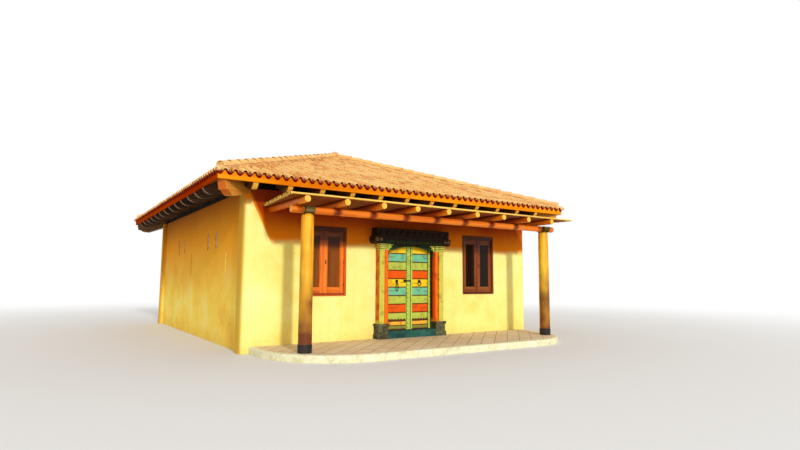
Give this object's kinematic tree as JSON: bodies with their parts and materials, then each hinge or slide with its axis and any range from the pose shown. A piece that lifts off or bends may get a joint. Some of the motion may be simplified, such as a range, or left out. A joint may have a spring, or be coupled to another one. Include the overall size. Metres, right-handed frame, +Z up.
{
  "type": "adobe house",
  "caption": "One-room adobe house with a tiled hip roof, curved rafter ends, a log and cane porch on round posts, and a painted double door in a carved surround.",
  "frame": {"origin": "on the ground, under the middle of the four walls", "axes": "+Z up, the front with the door and the porch faces -Y, +X to the right of someone who looks at the front"},
  "size_m": [10.42, 13.01, 5.8899],
  "materials": {
    "adobe_wall": "trowelled lime wash",
    "paving": "worn clay pavers",
    "kerb": "cast stone",
    "floor": "matt",
    "carved_stone": "rough",
    "window_frame_wood": "oiled",
    "window_sash_wood": "varnished",
    "window_glass": "clear",
    "clay_grille": "matt",
    "jamb_paint": "worn paint",
    "pilaster_paint": "worn paint",
    "lintel_wood": "old dark wood",
    "valance_paint": "worn paint",
    "threshold_paint": "worn",
    "door_paint": "worn paint",
    "iron": "forged",
    "rafter_wood": "stained",
    "board_wood": "stained",
    "roof_tile": "fired clay",
    "hip_tile": "fired clay",
    "fascia_wood": "varnished",
    "log_wood": "peeled and oiled",
    "post_wood": "peeled and waxed",
    "post_base_paint": "tarred",
    "saddle_wood": "weathered",
    "cane": "dry cane"
  },
  "bodies": {
    "house": {"floor_slab": "floor", "porch_kerb": "kerb", "porch_paving": "paving", "front_wall_left": "adobe_wall", "front_wall_right": "adobe_wall", "front_wall_over_door": "adobe_wall", "left_wall": "adobe_wall", "right_wall": "adobe_wall", "back_wall": "adobe_wall", "front_window_frames": "window_frame_wood", "front_window_sashes": "window_sash_wood", "front_window_glass": "window_glass", "back_window_frames": "window_frame_wood", "back_window_sashes": "window_sash_wood", "back_window_glass": "window_glass", "vent_tiles": "clay_grille", "door_jambs": "jamb_paint", "door_pilasters": "pilaster_paint", "door_lintel": "lintel_wood", "door_valance": "valance_paint", "door_plinths": "carved_stone", "door_threshold": "threshold_paint", "wall_plates": "rafter_wood", "front_rafters": "rafter_wood", "right_rafters": "rafter_wood", "back_rafters": "rafter_wood", "left_rafters": "rafter_wood", "hip_rafters": "rafter_wood", "roof_boards": "board_wood", "tiles_front": "roof_tile", "tiles_right": "roof_tile", "tiles_back": "roof_tile", "tiles_left": "roof_tile", "hip_caps": "hip_tile", "fascia_boards": "fascia_wood", "porch_posts": "post_wood", "post_bases": "post_base_paint", "post_saddles": "saddle_wood", "porch_beam": "log_wood", "porch_logs": "log_wood", "porch_canes": "cane"},
    "left_leaf": {"door_leaf_left": "door_paint", "knocker_left": "iron"},
    "right_leaf": {"door_leaf_right": "door_paint", "knocker_right": "iron"}
  },
  "joints": [
    {"name": "left_leaf_hinge", "type": "hinge", "parent": "house", "child": "left_leaf", "pos_m": [-0.659, -4.87, 0.336], "axis": [0, 0, 1], "range_deg": [0, 90]},
    {"name": "right_leaf_hinge", "type": "hinge", "parent": "house", "child": "right_leaf", "pos_m": [0.719, -4.87, 0.336], "axis": [0, 0, -1], "range_deg": [0, 90]}
  ]
}
